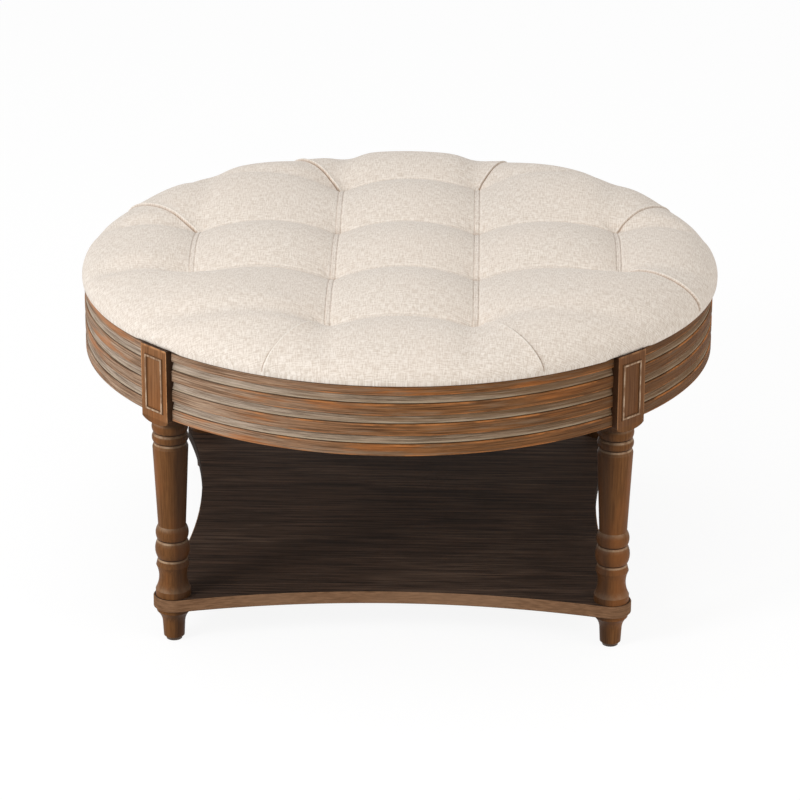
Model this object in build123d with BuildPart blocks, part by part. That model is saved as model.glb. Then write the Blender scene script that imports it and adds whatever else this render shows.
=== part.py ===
from build123d import *

import os
from math import cos, radians, sin, sqrt

# Round ottoman coffee table: a biscuit-tufted linen top on a reeded apron,
# four turned legs let into the apron, and a shelf with four hollow sides.
# Sizes are in millimetres. Z is up, X runs to the right and Y to the rear.
# The origin is on the floor under the centre of the top.

# Overall sizes
apron_radius = 450.0
apron_top = 443.0
apron_height = 103.0
cover_rise = 61.0
leg_inset = 18.0
side_names = ["right", "rear", "left", "front"]
corner_names = ["rear_right", "rear_left", "front_left", "front_right"]
quarter_turn = 90

# Fits: gap between a hard part and a soft one, gap round a fastener, and the
# run of a cutter past the face that it cuts
soft_gap = 0.3
fastener_gap = 0.2
overrun = 5.0

# Apron: a bent backing with milled bands between four applied reeds
reed_height = 16.4
reed_thickness = 6.5
reed_count = 4
reed_bevel = 1.0
core_thickness = 19.5
band_lip_setback = 1.4
band_hollow = 2.6
band_lip_height = 1.6
kerf_height = 1.4

# Legs: square blocks above, turned below
block_side = 53.0
shoulder_drop = 10.0
shoulder_corner_rise = 4.0
neck_radius = 22.5
bead_radius = 25.3
column_top_radius = 24.8
column_foot_radius = 19.4
torus_radius = 23.0
ball_radius = 24.2
lip_radius = 23.2
vase_waist_radius = 19.5
base_ring_radius = 24.6
small_groove_radius = 20.5
# Where the turned members end, as shares of the length from the shoulder down
# to the shelf: two beads, fillet, column, torus, ball, lip, vase, base ring
member_end_shares = (0.065, 0.120, 0.146, 0.596, 0.678, 0.785, 0.825, 0.965, 1.0)

# Moulding mitred round the outer face of each block
moulding_width = 36.0
moulding_bead = 4.2
moulding_proud = 1.8
moulding_top_margin = 13.0
moulding_foot_margin = 9.0
moulding_bevel = 0.9

# Shelf
shelf_top = 68.0
shelf_thickness = 18.0
shelf_lobe_radius = 28.0
shelf_side_share = 0.676
shelf_edge_bevel = 1.5

# Feet and glides under the shelf
glide_thickness = 2.5
glide_radius = 11.0
foot_collar_radius = 23.6
foot_collar_height = 6.0
foot_neck_radius = 15.6
foot_toe_radius = 14.6
foot_toe_round = 3.0
foot_neck_share = 0.46

# Threaded studs that draw foot, shelf and leg together
stud_radius = 4.0
stud_in_leg = 34.0
stud_in_foot = 26.0

# Corner braces behind the legs and their fasteners
brace_half_width = 76.0
brace_wall = 25.0
brace_height = 62.0
bolt_radius = 4.0
bolt_in_leg = 26.0
bolt_tail = 11.0
bolt_spacing = 32.0
washer_radius = 9.0
washer_thickness = 1.6
nut_width = 13.0
nut_thickness = 6.5
screw_radius = 2.2
screw_head_radius = 4.4
screw_head_thickness = 2.4
seat_screw_bite = 9.0
seat_screw_margin = 32.0
brace_screw_bite = 13.0
brace_screw_margin = 14.0

# Seat: plywood board, punched foam and the quilted linen cover on top
board_inset = 2.0
board_thickness = 12.0
foam_margin = 28.0
foam_thickness = 14.0
foam_punch_radius = 30.0
tuft_pitch_share = 0.44
tuft_bed = 7.5
tuft_skin = 2.2
cover_overhang = 6.0
cover_tuck = 1.2
cover_tuck_height = 3.0
crown_run = 166.0
# The crown's knee, as shares of its run out to the rim and of its fall
knee_run_share = 0.91
knee_fall_share = 0.63
side_shoulder_share = 0.333
puff_step = 0.6
# Pleats run from the outer tufts to the rim, this far to each side of a side's
# middle as seen from the table's axis
pleat_half_angle = 23.5
pleat_width = 2.4
pleat_depth = 2.6

# Ties that hold the tufts down, and the cloth under the board
tie_radius = 1.5
toggle_radius = 8.0
toggle_thickness = 2.2
dust_margin = 10.5
dust_hem = 14.0
dust_thickness = 1.0

# Derived places
side_azimuths = {name: quarter_turn * number for number, name in enumerate(side_names)}
leg_azimuths = {
    name: quarter_turn * number + quarter_turn / 2 for number, name in enumerate(corner_names)
}
seat_height = apron_top + cover_rise
leg_circle_radius = apron_radius - leg_inset
apron_bottom = apron_top - apron_height
core_outer = apron_radius - reed_thickness
core_inner = core_outer - core_thickness
reed_pitch = (apron_height - reed_height) / (reed_count - 1)
block_face = leg_circle_radius + block_side / 2
block_back = leg_circle_radius - block_side / 2
half_diagonal = block_side / sqrt(2)
shoulder_low = apron_bottom - shoulder_drop
shelf_bottom = shelf_top - shelf_thickness
shelf_side_reach = shelf_side_share * leg_circle_radius
board_radius = apron_radius - board_inset
board_top = apron_top + board_thickness
foam_radius = board_radius - foam_margin
seat_screw_spread = brace_half_width - seat_screw_margin
brace_screw_spread = brace_half_width - brace_screw_margin
brace_low = apron_top - brace_height
brace_middle = brace_low + brace_height / 2
brace_back = block_back - brace_wall
dust_radius = brace_back - dust_margin
brace_screw_length = sqrt(core_inner**2 - brace_screw_spread**2) - brace_back + brace_screw_bite
bolt_heights = [brace_middle - bolt_spacing / 2, brace_middle + bolt_spacing / 2]
tuft_pitch = tuft_pitch_share * apron_radius
tuft_height = board_top + tuft_bed
half_pitch = tuft_pitch / 2
far_tuft = 3 * half_pitch
tuft_reach = half_pitch * sqrt(2)
tuft_places = [
    (x * half_pitch, y * half_pitch)
    for x in (-3, -1, 1, 3)
    for y in (-3, -1, 1, 3)
    if abs(x * y) < 9
]

os.makedirs("parts", exist_ok=True)
written = []


def keep(part, name):
    """Label a finished piece and write it."""
    part.label = name
    export_step(part, f"parts/{name}.step")
    written.append(name)


def turned(part, angle):
    """A copy of a part, turned about the table's axis."""
    with BuildPart() as copy_part:
        with Locations(Location((0, 0, 0), (0, 0, angle))):
            add(part)
    return copy_part.part


def group(parts):
    """Separate solids of one kind, kept together in one node."""
    return Compound(children=[solid for part in parts for solid in part.solids()])


def radial_plane(angle):
    """Sketch plane through the table's axis: X is the radius and Y is up."""
    a = radians(angle)
    return Plane(origin=(0, 0, 0), x_dir=(cos(a), sin(a), 0), z_dir=(sin(a), -cos(a), 0))


table_axis = Axis((0, 0, 0), (0, 0, 1))
leg_axis = Axis((leg_circle_radius, 0, 0), (0, 0, 1))
leg_plane = Plane(origin=(leg_circle_radius, 0, 0), x_dir=(1, 0, 0), z_dir=(0, -1, 0))


# Slots that square the ends of the curved pieces against the two blocks that
# they run between
with BuildPart() as leg_slots:
    for angle in (-quarter_turn / 2, quarter_turn / 2):
        with BuildSketch(Plane.XY.offset(apron_bottom - overrun)):
            with Locations(Location((0, 0, 0), (0, 0, angle))):
                with Locations((leg_circle_radius, 0)):
                    Rectangle(2 * block_side, block_side)
        extrude(amount=apron_height + 2 * overrun)

# Screws that hold each corner brace to the backings on either side of the leg
with BuildPart() as brace_screw:
    with BuildSketch(Plane.YZ.offset(brace_back - screw_head_thickness)):
        with Locations((-brace_screw_spread, brace_middle), (brace_screw_spread, brace_middle)):
            Circle(screw_head_radius)
    extrude(amount=screw_head_thickness)
    with BuildSketch(Plane.YZ.offset(brace_back)):
        with Locations((-brace_screw_spread, brace_middle), (brace_screw_spread, brace_middle)):
            Circle(screw_radius)
    extrude(amount=brace_screw_length)

with BuildPart() as brace_screw_bore:
    with BuildSketch(Plane.YZ.offset(brace_back)):
        with Locations((-brace_screw_spread, brace_middle), (brace_screw_spread, brace_middle)):
            Circle(screw_radius + fastener_gap)
    extrude(amount=brace_screw_length + fastener_gap)

# Apron backing, a quarter of the ring between two legs
with BuildPart() as core:
    with BuildSketch(radial_plane(-quarter_turn / 2)):
        with BuildLine():
            Polyline(
                (core_outer, apron_bottom),
                (core_inner, apron_bottom),
                (core_inner, apron_top),
                (core_outer, apron_top),
            )
            level = apron_top
            for _ in range(reed_count - 1):
                band_top = level - reed_height
                band_foot = level - reed_pitch + kerf_height
                lip = apron_radius - band_lip_setback
                Polyline(
                    (core_outer, level),
                    (core_outer, band_top),
                    (lip - band_hollow, band_top),
                    (lip, band_foot + band_lip_height),
                    (lip, band_foot),
                    (core_outer, band_foot),
                    (core_outer, level - reed_pitch),
                )
                level -= reed_pitch
            Line((core_outer, level), (core_outer, apron_bottom))
        make_face()
    revolve(axis=table_axis, revolution_arc=quarter_turn)
    add(leg_slots.part, mode=Mode.SUBTRACT)
    for angle in (-quarter_turn / 2, quarter_turn / 2):
        with Locations(Location((0, 0, 0), (0, 0, angle))):
            add(brace_screw_bore.part, mode=Mode.SUBTRACT)

for side, azimuth in side_azimuths.items():
    keep(turned(core.part, azimuth), f"apron_core_{side}")

# Reeds glued on the backing, four levels in each quarter
for number in range(reed_count):
    reed_foot = apron_top - reed_height - number * reed_pitch
    with BuildPart() as reed:
        with BuildSketch(radial_plane(-quarter_turn / 2)):
            with BuildLine():
                Polyline(
                    (core_outer, reed_foot),
                    (apron_radius - reed_bevel, reed_foot),
                    (apron_radius, reed_foot + reed_bevel),
                    (apron_radius, reed_foot + reed_height - reed_bevel),
                    (apron_radius - reed_bevel, reed_foot + reed_height),
                    (core_outer, reed_foot + reed_height),
                    close=True,
                )
            make_face()
        revolve(axis=table_axis, revolution_arc=quarter_turn)
        add(leg_slots.part, mode=Mode.SUBTRACT)
    for side, azimuth in side_azimuths.items():
        keep(turned(reed.part, azimuth), f"reed_{number + 1}_{side}")

# Leg: square block with lathe-rounded shoulder, then the turning
turning_length = shoulder_low - shelf_top
member_ends = [shoulder_low - share * turning_length for share in member_end_shares]
bead_1, bead_2, fillet_end, column_end, torus_end, ball_end, lip_end, vase_end, _ = member_ends

with BuildPart() as leg:
    with BuildSketch(Plane.XY.offset(shoulder_low)):
        with Locations((leg_circle_radius, 0)):
            Rectangle(block_side, block_side)
    extrude(amount=apron_top - shoulder_low)
    with BuildSketch(leg_plane):
        with BuildLine():
            corner = (half_diagonal + overrun, apron_bottom + shoulder_corner_rise + overrun)
            Polyline(
                (neck_radius, shoulder_low),
                (0, shoulder_low),
                (0, apron_top + overrun),
                (half_diagonal + overrun, apron_top + overrun),
                corner,
            )
            TangentArc((neck_radius, shoulder_low), corner, tangent=(1, 0))
        make_face()
    revolve(axis=leg_axis, mode=Mode.INTERSECT)
    with BuildSketch(leg_plane):
        with BuildLine():
            Line((0, shelf_top), (0, shoulder_low))
            Line((0, shoulder_low), (neck_radius, shoulder_low))
            ThreePointArc(
                (neck_radius, shoulder_low),
                (bead_radius, (shoulder_low + bead_1) / 2),
                (neck_radius, bead_1),
            )
            ThreePointArc(
                (neck_radius, bead_1),
                (bead_radius, (bead_1 + bead_2) / 2),
                (neck_radius, bead_2),
            )
            Polyline(
                (neck_radius, bead_2),
                (column_top_radius, fillet_end),
                (column_foot_radius, column_end),
            )
            ThreePointArc(
                (column_foot_radius, column_end),
                (torus_radius, (column_end + torus_end) / 2),
                (small_groove_radius, torus_end),
            )
            ThreePointArc(
                (small_groove_radius, torus_end),
                (ball_radius, (torus_end + ball_end) / 2),
                (small_groove_radius, ball_end),
            )
            Line((small_groove_radius, ball_end), (lip_radius, lip_end))
            ThreePointArc(
                (lip_radius, lip_end),
                (vase_waist_radius, (lip_end + vase_end) / 2),
                (base_ring_radius, vase_end),
            )
            Polyline(
                (base_ring_radius, vase_end), (base_ring_radius, shelf_top), (0, shelf_top)
            )
        make_face()
    revolve(axis=leg_axis)
    with BuildSketch(Plane.XY.offset(shelf_top)):
        with Locations((leg_circle_radius, 0)):
            Circle(stud_radius + fastener_gap)
    extrude(amount=stud_in_leg + fastener_gap, mode=Mode.SUBTRACT)
    with BuildSketch(Plane.YZ.offset(block_back)):
        with Locations(*[(0, height) for height in bolt_heights]):
            Circle(bolt_radius + fastener_gap)
    extrude(amount=bolt_in_leg + fastener_gap, mode=Mode.SUBTRACT)

# Mitred bead moulding on the block's outer face
moulding_low = apron_bottom + moulding_foot_margin
moulding_height = apron_height - moulding_top_margin - moulding_foot_margin
with BuildPart() as moulding:
    with BuildSketch(Plane.YZ.offset(block_face)):
        with Locations((0, moulding_low + moulding_height / 2)):
            Rectangle(moulding_width, moulding_height)
            Rectangle(
                moulding_width - 2 * moulding_bead,
                moulding_height - 2 * moulding_bead,
                mode=Mode.SUBTRACT,
            )
    extrude(amount=moulding_proud)
    chamfer(moulding.faces().sort_by(Axis.X)[-1].edges(), moulding_bevel)

# Foot, turned, with its glide
foot_height = shelf_bottom - glide_thickness
foot_neck = glide_thickness + foot_height * foot_neck_share
with BuildPart() as foot:
    with BuildSketch(leg_plane):
        with BuildLine():
            collar_foot = shelf_bottom - foot_collar_height
            Polyline(
                (foot_toe_radius, glide_thickness + foot_toe_round),
                (foot_toe_radius - foot_toe_round, glide_thickness),
                (0, glide_thickness),
                (0, shelf_bottom),
                (foot_collar_radius, shelf_bottom),
                (foot_collar_radius, collar_foot),
            )
            TangentArc(
                (foot_neck_radius, foot_neck), (foot_collar_radius, collar_foot), tangent=(0, 1)
            )
            Line(
                (foot_neck_radius, foot_neck),
                (foot_toe_radius, glide_thickness + foot_toe_round),
            )
        make_face()
    revolve(axis=leg_axis)
    with BuildSketch(Plane.XY.offset(shelf_bottom)):
        with Locations((leg_circle_radius, 0)):
            Circle(stud_radius + fastener_gap)
    extrude(amount=-(stud_in_foot + fastener_gap), mode=Mode.SUBTRACT)

with BuildPart() as glide:
    with BuildSketch(Plane.XY):
        with Locations((leg_circle_radius, 0)):
            Circle(glide_radius)
    extrude(amount=glide_thickness)

with BuildPart() as stud:
    with BuildSketch(Plane.XY.offset(shelf_bottom - stud_in_foot)):
        with Locations((leg_circle_radius, 0)):
            Circle(stud_radius)
    extrude(amount=stud_in_foot + shelf_thickness + stud_in_leg)

# Shelf: hollow sides run tangent into round lobes under the legs. The hollow's
# centre lies on the side's own axis, outside the shelf.
lobe_place = leg_circle_radius / sqrt(2)
inner_reach = shelf_side_reach - shelf_lobe_radius
hollow_centre = (2 * lobe_place**2 - inner_reach**2) / (2 * (lobe_place - inner_reach))
hollow_radius = hollow_centre - shelf_side_reach
lobe_share = shelf_lobe_radius / (hollow_radius + shelf_lobe_radius)
touch_x = lobe_place + (hollow_centre - lobe_place) * lobe_share
touch_y = lobe_place - lobe_place * lobe_share
lobe_tip = lobe_place + shelf_lobe_radius / sqrt(2)

with BuildPart() as shelf:
    with BuildSketch(Plane.XY.offset(shelf_bottom)):
        with BuildLine():
            for azimuth in side_azimuths.values():
                with Locations(Location((0, 0, 0), (0, 0, azimuth))):
                    ThreePointArc(
                        Vector(touch_x, -touch_y).rotate(Axis.Z, azimuth),
                        Vector(shelf_side_reach, 0).rotate(Axis.Z, azimuth),
                        Vector(touch_x, touch_y).rotate(Axis.Z, azimuth),
                    )
                    ThreePointArc(
                        Vector(touch_x, touch_y).rotate(Axis.Z, azimuth),
                        Vector(lobe_tip, lobe_tip).rotate(Axis.Z, azimuth),
                        Vector(touch_y, touch_x).rotate(Axis.Z, azimuth),
                    )
        make_face()
    extrude(amount=shelf_thickness)
    chamfer(shelf.faces().sort_by(Axis.Z)[-1].edges(), shelf_edge_bevel)
    chamfer(shelf.faces().sort_by(Axis.Z)[0].edges(), shelf_edge_bevel)
    with BuildSketch(Plane.XY.offset(shelf_bottom)):
        with PolarLocations(leg_circle_radius, len(leg_azimuths), start_angle=quarter_turn / 2):
            Circle(stud_radius + fastener_gap)
    extrude(amount=shelf_thickness, mode=Mode.SUBTRACT)
keep(shelf.part, "shelf")

# Corner brace: fills the corner behind the block and is housed round it
seat_screw_radius = (brace_back + block_back) / 2
with BuildPart() as brace:
    with BuildSketch(Plane.XY.offset(brace_low)):
        Circle(core_inner)
        with Locations((brace_back + core_inner / 2, 0)):
            Rectangle(core_inner, 2 * brace_half_width, mode=Mode.INTERSECT)
        with Locations((leg_circle_radius, 0)):
            Rectangle(block_side, block_side, mode=Mode.SUBTRACT)
    extrude(amount=brace_height)
    with BuildSketch(Plane.YZ.offset(brace_back)):
        with Locations(*[(0, height) for height in bolt_heights]):
            Circle(bolt_radius + fastener_gap)
    extrude(amount=brace_wall, mode=Mode.SUBTRACT)
    with BuildSketch(Plane.XY.offset(brace_low)):
        with Locations(
            (seat_screw_radius, -seat_screw_spread), (seat_screw_radius, seat_screw_spread)
        ):
            Circle(screw_radius + fastener_gap)
    extrude(amount=brace_height, mode=Mode.SUBTRACT)
    add(brace_screw_bore.part, mode=Mode.SUBTRACT)

with BuildPart() as bolt:
    with BuildSketch(Plane.YZ.offset(brace_back - bolt_tail)):
        with Locations(*[(0, height) for height in bolt_heights]):
            Circle(bolt_radius)
    extrude(amount=bolt_tail + brace_wall + bolt_in_leg)

with BuildPart() as washer:
    with BuildSketch(Plane.YZ.offset(brace_back - washer_thickness)):
        with Locations(*[(0, height) for height in bolt_heights]):
            Circle(washer_radius)
            Circle(bolt_radius + fastener_gap, mode=Mode.SUBTRACT)
    extrude(amount=washer_thickness)

with BuildPart() as nut:
    with BuildSketch(Plane.YZ.offset(brace_back - washer_thickness - nut_thickness)):
        with Locations(*[(0, height) for height in bolt_heights]):
            RegularPolygon(nut_width / 2, 6, major_radius=False)
            Circle(bolt_radius + fastener_gap, mode=Mode.SUBTRACT)
    extrude(amount=nut_thickness)

with BuildPart() as seat_screw:
    with BuildSketch(Plane.XY.offset(brace_low - screw_head_thickness)):
        with Locations(
            (seat_screw_radius, -seat_screw_spread), (seat_screw_radius, seat_screw_spread)
        ):
            Circle(screw_head_radius)
    extrude(amount=screw_head_thickness)
    with BuildSketch(Plane.XY.offset(brace_low)):
        with Locations(
            (seat_screw_radius, -seat_screw_spread), (seat_screw_radius, seat_screw_spread)
        ):
            Circle(screw_radius)
    extrude(amount=brace_height + seat_screw_bite)

for corner_name, azimuth in leg_azimuths.items():
    keep(turned(leg.part, azimuth), f"leg_{corner_name}")
    keep(turned(moulding.part, azimuth), f"block_moulding_{corner_name}")
    keep(turned(foot.part, azimuth), f"foot_{corner_name}")
    keep(turned(brace.part, azimuth), f"corner_brace_{corner_name}")

corner_angles = leg_azimuths.values()
keep(group([turned(glide.part, angle) for angle in corner_angles]), "floor_glides")
keep(group([turned(stud.part, angle) for angle in corner_angles]), "foot_studs")
keep(group([turned(bolt.part, angle) for angle in corner_angles]), "leg_bolts")
keep(group([turned(washer.part, angle) for angle in corner_angles]), "leg_washers")
keep(group([turned(nut.part, angle) for angle in corner_angles]), "leg_nuts")
keep(group([turned(seat_screw.part, angle) for angle in corner_angles]), "seat_screws")
keep(group([turned(brace_screw.part, angle) for angle in corner_angles]), "brace_screws")

# Plywood board on the apron and the braces, bored for ties and screws
with BuildPart() as seat_board:
    with BuildSketch(Plane.XY.offset(apron_top)):
        Circle(board_radius)
        with Locations(*tuft_places):
            Circle(tie_radius + fastener_gap, mode=Mode.SUBTRACT)
    extrude(amount=board_thickness)
    for azimuth in corner_angles:
        with BuildSketch(Plane.XY.offset(apron_top)):
            with Locations(
                Vector(seat_screw_radius, -seat_screw_spread).rotate(Axis.Z, azimuth),
                Vector(seat_screw_radius, seat_screw_spread).rotate(Axis.Z, azimuth),
            ):
                Circle(screw_radius + fastener_gap)
        extrude(amount=seat_screw_bite + fastener_gap, mode=Mode.SUBTRACT)
keep(seat_board.part, "seat_board")

# Foam, punched out where the tufts are drawn down to the board
with BuildPart() as foam_pad:
    with BuildSketch(Plane.XY.offset(board_top)):
        Circle(foam_radius)
        with Locations(*tuft_places):
            Circle(foam_punch_radius, mode=Mode.SUBTRACT)
    extrude(amount=foam_thickness)
keep(foam_pad.part, "foam_pad")

# Ties: twine through cover and board, each with a toggle under the board
tie_top = tuft_height - tuft_skin - soft_gap
with BuildPart() as tuft_ties:
    with BuildSketch(Plane.XY.offset(apron_top - toggle_thickness)):
        with Locations(*tuft_places):
            Circle(toggle_radius)
    extrude(amount=toggle_thickness)
    with BuildSketch(Plane.XY.offset(apron_top)):
        with Locations(*tuft_places):
            Circle(tie_radius)
    extrude(amount=tie_top - apron_top)
keep(group([tuft_ties.part]), "tuft_ties")

# Dust cloth hemmed to the underside of the board
dust_low = apron_top - toggle_thickness - soft_gap - dust_thickness
with BuildPart() as dust_cloth:
    with BuildSketch(Plane.XY.offset(dust_low)):
        Circle(dust_radius)
    extrude(amount=apron_top - dust_low)
    with BuildSketch(Plane.XY.offset(dust_low + dust_thickness)):
        Circle(dust_radius - dust_hem)
    extrude(amount=apron_top - dust_low - dust_thickness, mode=Mode.SUBTRACT)
keep(dust_cloth.part, "dust_cloth")

# Quilted cover. Each closed biscuit is part of a ball over its own square of the
# tuft grid, so neighbours meet in arched seams that dip to the tufts. The eight
# outer puffs share one crown turned about the table's axis, whose shoulders
# rise from the height of those seams.
tuft_drop = seat_height - tuft_height
ball = (tuft_reach**2 + tuft_drop**2) / (2 * tuft_drop)
seam_height = seat_height - ball + sqrt(ball**2 - half_pitch**2)
cover_low = apron_top + soft_gap
cover_block = seat_height + overrun - cover_low
rim_radius = apron_radius + cover_overhang
outer_reach = 2 * rim_radius
tuck_top = cover_low + cover_tuck_height
crown_fall = seat_height - tuck_top
crown_start_radius = rim_radius - crown_run
knee = (crown_start_radius + knee_run_share * crown_run, seat_height - knee_fall_share * crown_fall)


def crown(inset):
    """The untufted top turned about the table's axis, shrunk by an inset."""
    start = Vector(crown_start_radius - inset, seat_height - inset)
    bend = Vector(knee[0] - inset, knee[1] - inset)
    rim = Vector(rim_radius - inset, tuck_top - inset)
    foot = Vector(rim_radius - inset - cover_tuck, cover_low - inset)
    with BuildPart() as top:
        with BuildSketch(radial_plane(0)):
            with BuildLine():
                Polyline(foot, (0, foot.Y), (0, start.Y), start)
                upper = TangentArc(start, bend, tangent=(1, 0))
                TangentArc(bend, rim, tangent=upper % 1)
                Line(rim, foot)
            make_face()
        revolve(axis=table_axis)
    return top.part


def shoulder(run):
    """Half arch along Y: rises from seam height at X 0 to the crest, then level."""
    crest = seat_height + puff_step
    with BuildPart() as arch:
        with BuildSketch(Plane.XZ.offset(-outer_reach)):
            with BuildLine():
                TangentArc((run, crest), (0, seam_height), tangent=(-1, 0))
                Polyline(
                    (0, seam_height),
                    (0, cover_low),
                    (2 * outer_reach, cover_low),
                    (2 * outer_reach, crest),
                    (run, crest),
                )
            make_face()
        extrude(amount=2 * outer_reach)
    return arch.part


def prism(corners):
    """Upright block over a polygon, from the cover's lower edge to past the crest."""
    with BuildPart() as block:
        with BuildSketch(Plane.XY.offset(cover_low)):
            with BuildLine():
                Polyline(*corners, close=True)
            make_face()
        extrude(amount=cover_block)
    return block.part


def past_rim(angle):
    """A point beyond the rim on the line from the centre at this angle."""
    a = radians(angle)
    return ((rim_radius + block_side) * cos(a), (rim_radius + block_side) * sin(a))


def outer_puff(corners, shoulders):
    """The crown over one outer cell of the quilting, with a shoulder at each seam."""
    with BuildPart() as filler:
        add(prism(corners))
        add(full_crown, mode=Mode.INTERSECT)
        for location, run in shoulders:
            with Locations(location):
                add(shoulder(run), mode=Mode.INTERSECT)
    return filler.part


full_crown = crown(0)
puffs = []
for middle in [(0, 0), (tuft_pitch, 0), (0, tuft_pitch), (-tuft_pitch, 0), (0, -tuft_pitch)]:
    with BuildPart() as puff:
        with BuildSketch(Plane.XY.offset(cover_low)):
            with Locations(middle):
                Rectangle(tuft_pitch, tuft_pitch)
        extrude(amount=cover_block)
        with Locations((*middle, seat_height - ball)):
            Sphere(ball, mode=Mode.INTERSECT)
    puffs.append(puff.part)

side_puff = outer_puff(
    [
        (far_tuft, -half_pitch),
        past_rim(-pleat_half_angle),
        (outer_reach, 0),
        past_rim(pleat_half_angle),
        (far_tuft, half_pitch),
    ],
    [(Location((far_tuft, 0, 0)), side_shoulder_share * (rim_radius - far_tuft))],
)
corner_puff = outer_puff(
    [
        (half_pitch, half_pitch),
        (far_tuft, half_pitch),
        past_rim(pleat_half_angle),
        (outer_reach, outer_reach),
        past_rim(quarter_turn - pleat_half_angle),
        (half_pitch, far_tuft),
    ],
    [
        (Location((half_pitch, 0, 0)), half_pitch),
        (Location((0, half_pitch, 0), (0, 0, quarter_turn)), half_pitch),
    ],
)
for azimuth in side_azimuths.values():
    puffs.append(turned(side_puff, azimuth))
    puffs.append(turned(corner_puff, azimuth))

# A pleat is a narrow trench in the crown, from an outer tuft to the rim
rim_point = Vector(*past_rim(pleat_half_angle))
tuft_point = Vector(far_tuft, half_pitch)
pleat_run = rim_point - tuft_point
with BuildPart() as pleat:
    with BuildSketch(Plane(origin=(far_tuft, half_pitch, cover_low - pleat_depth), x_dir=pleat_run, z_dir=(0, 0, 1))):
        with Locations((pleat_run.length / 2, 0)):
            Rectangle(pleat_run.length, pleat_width)
    extrude(amount=cover_block + pleat_depth)
    add(crown(pleat_depth), mode=Mode.SUBTRACT)
pleat_pair = [pleat.part, mirror(pleat.part, about=Plane.XZ)]

# The cover is hollowed for the board and the foam, down to lands at the tufts
with BuildPart() as quilted_cover:
    add(puffs)
    for azimuth in side_azimuths.values():
        for trench in pleat_pair:
            add(turned(trench, azimuth), mode=Mode.SUBTRACT)
    with BuildSketch(Plane.XY.offset(cover_low)):
        Circle(board_radius + soft_gap)
    extrude(amount=board_top + soft_gap - cover_low, mode=Mode.SUBTRACT)
    with BuildSketch(Plane.XY.offset(board_top)):
        Circle(foam_radius + soft_gap)
        with Locations(*tuft_places):
            Circle(foam_punch_radius - soft_gap, mode=Mode.SUBTRACT)
    extrude(amount=foam_thickness + soft_gap, mode=Mode.SUBTRACT)
    with BuildSketch(Plane.XY.offset(board_top)):
        with Locations(*tuft_places):
            Circle(tie_radius + soft_gap)
    extrude(amount=tuft_height - tuft_skin - board_top, mode=Mode.SUBTRACT)
keep(quilted_cover.part, "quilted_cover")

print(len(written), "nodes written")
print("ball of a puff", round(ball, 1), "seam height", round(seam_height, 1))
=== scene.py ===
# %% [markdown]
# # Round ottoman coffee table
# A biscuit-tufted linen top sits on a round apron faced with four brown reeds.
# Four turned legs are let into the apron, and a shelf with hollow sides ties
# them together just above the floor. The wooden parts arrive as finished solids
# from the CAD model and get their timber here. The soft parts are rebuilt as
# cloth, because a solid can't show how linen is drawn down, pleated and rolled.

import bpy
import numpy as np
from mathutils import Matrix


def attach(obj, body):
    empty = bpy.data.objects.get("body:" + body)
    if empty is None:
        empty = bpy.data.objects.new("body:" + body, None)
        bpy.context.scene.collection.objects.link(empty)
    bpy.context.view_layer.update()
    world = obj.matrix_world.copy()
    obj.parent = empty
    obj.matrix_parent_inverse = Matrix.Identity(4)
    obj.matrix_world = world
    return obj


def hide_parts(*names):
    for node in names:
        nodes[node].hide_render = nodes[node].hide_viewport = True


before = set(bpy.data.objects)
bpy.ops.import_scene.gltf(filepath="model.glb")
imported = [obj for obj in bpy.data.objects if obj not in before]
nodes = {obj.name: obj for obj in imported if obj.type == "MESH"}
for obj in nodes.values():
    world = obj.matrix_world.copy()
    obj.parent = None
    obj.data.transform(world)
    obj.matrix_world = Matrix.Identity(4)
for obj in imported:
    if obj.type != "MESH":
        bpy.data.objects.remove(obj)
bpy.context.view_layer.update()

# %% [markdown]
# Every length below is in metres and most of them repeat a size of the CAD
# model, so that the cloth fits the wood under it.

# %% Shared sizes
mm = 0.001
apron_radius = 450 * mm
apron_top = 443 * mm
apron_height = 103 * mm
seat_height = 504 * mm
half_pitch = 99 * mm
soft_gap = 0.3 * mm
print(f"apron up to {apron_top / mm:.0f} mm, seat up to {seat_height / mm:.0f} mm")

# %% [markdown]
# ## Camera
# The photograph is taken with a long lens from a little above the top. Place,
# aim and focal length were worked out from points of the object whose places
# are known, such as the leg axes and the apron's rim.

# %% Camera
camera_place = np.array([0.1210, -4.9153, 2.2139])
camera_heading = np.radians(-1.38)
camera_pitch = np.radians(21.87)
camera_roll = np.radians(0.234)
focal_length = 163.79


def new_object(name, data):
    """A new object in the scene that holds some data."""
    made = bpy.data.objects.new(name, data)
    bpy.context.scene.collection.objects.link(made)
    return made


def turn_to(made, axes, place):
    """Turn an object to three axes, given as columns, and move it to a place."""
    placing = np.eye(4)
    placing[:3, :3] = axes
    placing[:3, 3] = place
    made.matrix_world = placing.T.tolist()


def camera_axes(heading, pitch, roll):
    """Right, up and backward directions of a camera.

    The view turns by the heading about Z, then tilts down, then rolls about the line of sight.
    """
    level = np.array([np.cos(heading), -np.sin(heading), 0.0])
    forward = np.array([np.sin(heading) * np.cos(pitch), np.cos(heading) * np.cos(pitch), -np.sin(pitch)])
    upward = np.cross(level, forward)
    right = np.cos(roll) * level + np.sin(roll) * upward
    up = np.cos(roll) * upward - np.sin(roll) * level
    return np.stack([right, up, -forward], axis=1)


camera = new_object("camera", bpy.data.cameras.new("camera"))
camera.data.lens = focal_length
camera.data.sensor_width = 36.0
turn_to(camera, camera_axes(camera_heading, camera_pitch, camera_roll), camera_place)
bpy.context.scene.camera = camera
print("camera at", camera.location)

# %% [markdown]
# ## Node helpers
# Every finish is built from nodes. A number or colour that a finish works out
# is the output socket of a node. Each socket knows its own tree, so the helpers
# take only sockets, plain numbers and tints. A tint is three eight-bit values
# as a display shows them. Stains and washes are coats laid one over another.

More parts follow.
